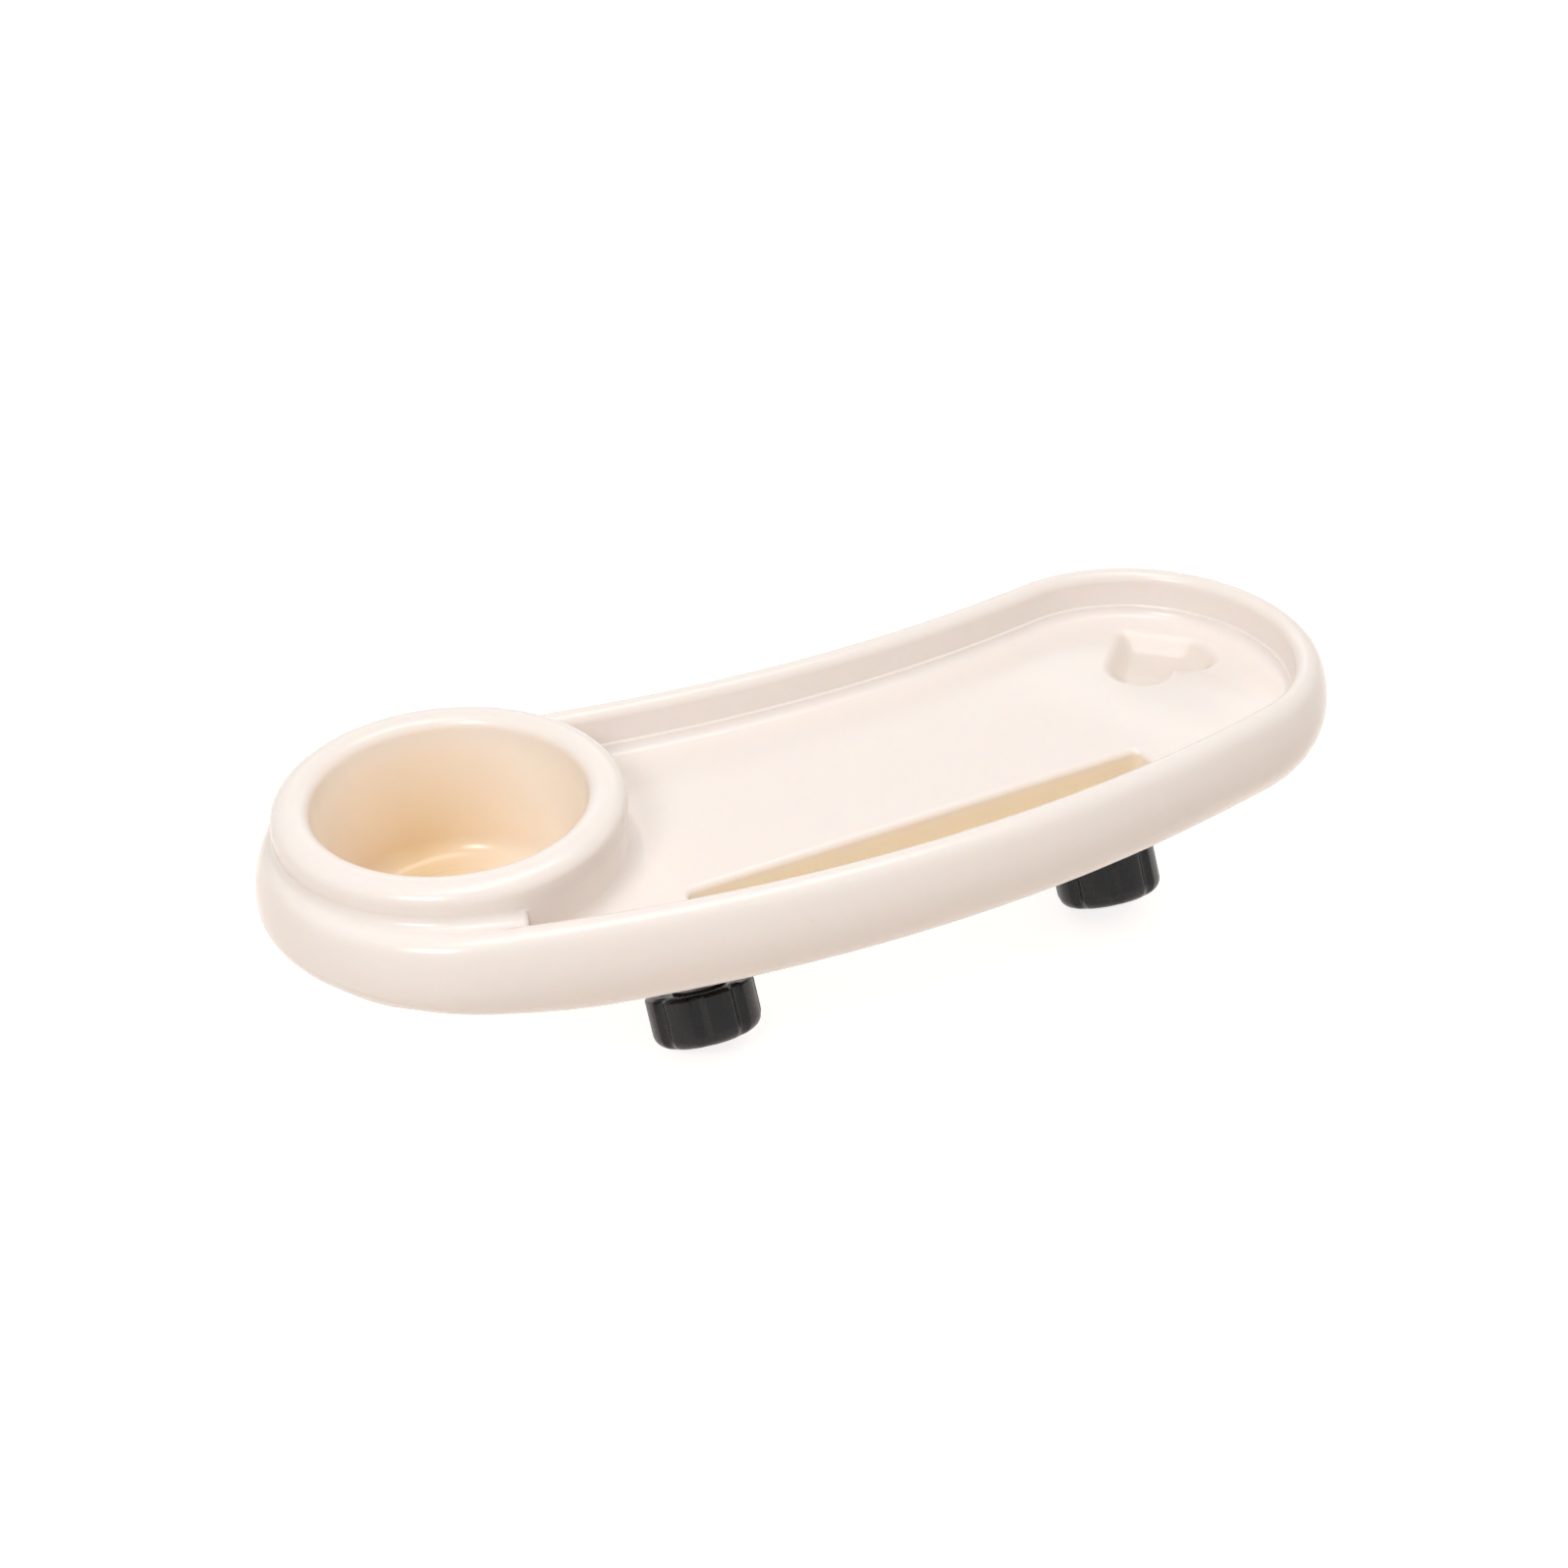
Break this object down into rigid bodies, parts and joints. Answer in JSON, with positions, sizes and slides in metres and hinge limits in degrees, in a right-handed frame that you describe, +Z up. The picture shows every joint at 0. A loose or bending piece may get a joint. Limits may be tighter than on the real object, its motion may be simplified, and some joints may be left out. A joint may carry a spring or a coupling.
{
  "type": "stroller snack tray",
  "caption": "Bean-shaped raised-rim tray with a cup well, a phone slot and a heart recess, clamped to a stroller bar by knobs that turn their screws.",
  "frame": {"origin": "on the axis of the held bar, midway between the two clamps", "axes": "+X along the bar towards the end without the cup, +Y to the rear, away from the phone slot, +Z up out of the deck"},
  "size_m": [0.3749, 0.1519, 0.1169],
  "materials": {
    "cream_plastic": "smooth glossy cream moulding",
    "knob_plastic": "black semi-gloss moulding",
    "black_plastic": "black fine-textured moulding",
    "rubber": "dark grey rubber",
    "zinc_steel": "bright zinc-plated steel"
  },
  "bodies": {
    "tray": {"tray_body": "cream_plastic", "left_bracket": "black_plastic", "left_bracket_screws": "zinc_steel", "left_jaw_liner": "rubber", "left_nut": "zinc_steel", "right_bracket": "black_plastic", "right_bracket_screws": "zinc_steel", "right_jaw_liner": "rubber", "right_nut": "zinc_steel"},
    "left_foot_unit": {"left_foot": "black_plastic", "left_foot_pad": "rubber"},
    "left_knob_unit": {"left_knob": "knob_plastic", "left_stud": "zinc_steel"},
    "right_foot_unit": {"right_foot": "black_plastic", "right_foot_pad": "rubber"},
    "right_knob_unit": {"right_knob": "knob_plastic", "right_stud": "zinc_steel"}
  },
  "joints": [
    {"name": "left_foot_slide", "type": "slide", "parent": "tray", "child": "left_foot_unit", "axis": [0, 0.454, 0.891], "range_m": [-0.00251, 0.00564]},
    {"name": "left_knob_turn", "type": "hinge", "parent": "left_foot_unit", "child": "left_knob_unit", "pos_m": [-0.0815, 0, 0], "axis": [0, 0.454, 0.891], "range_deg": [-720, 1620]},
    {"name": "right_foot_slide", "type": "slide", "parent": "tray", "child": "right_foot_unit", "axis": [0, 0.454, 0.891], "range_m": [-0.00251, 0.00564]},
    {"name": "right_knob_turn", "type": "hinge", "parent": "right_foot_unit", "child": "right_knob_unit", "pos_m": [0.0815, 0, 0], "axis": [0, 0.454, 0.891], "range_deg": [-720, 1620]}
  ],
  "couplings": [
    {"joint": "left_foot_slide", "follows": "left_knob_turn", "m_per_rad": 0.00019894},
    {"joint": "right_foot_slide", "follows": "right_knob_turn", "m_per_rad": 0.00019894}
  ]
}
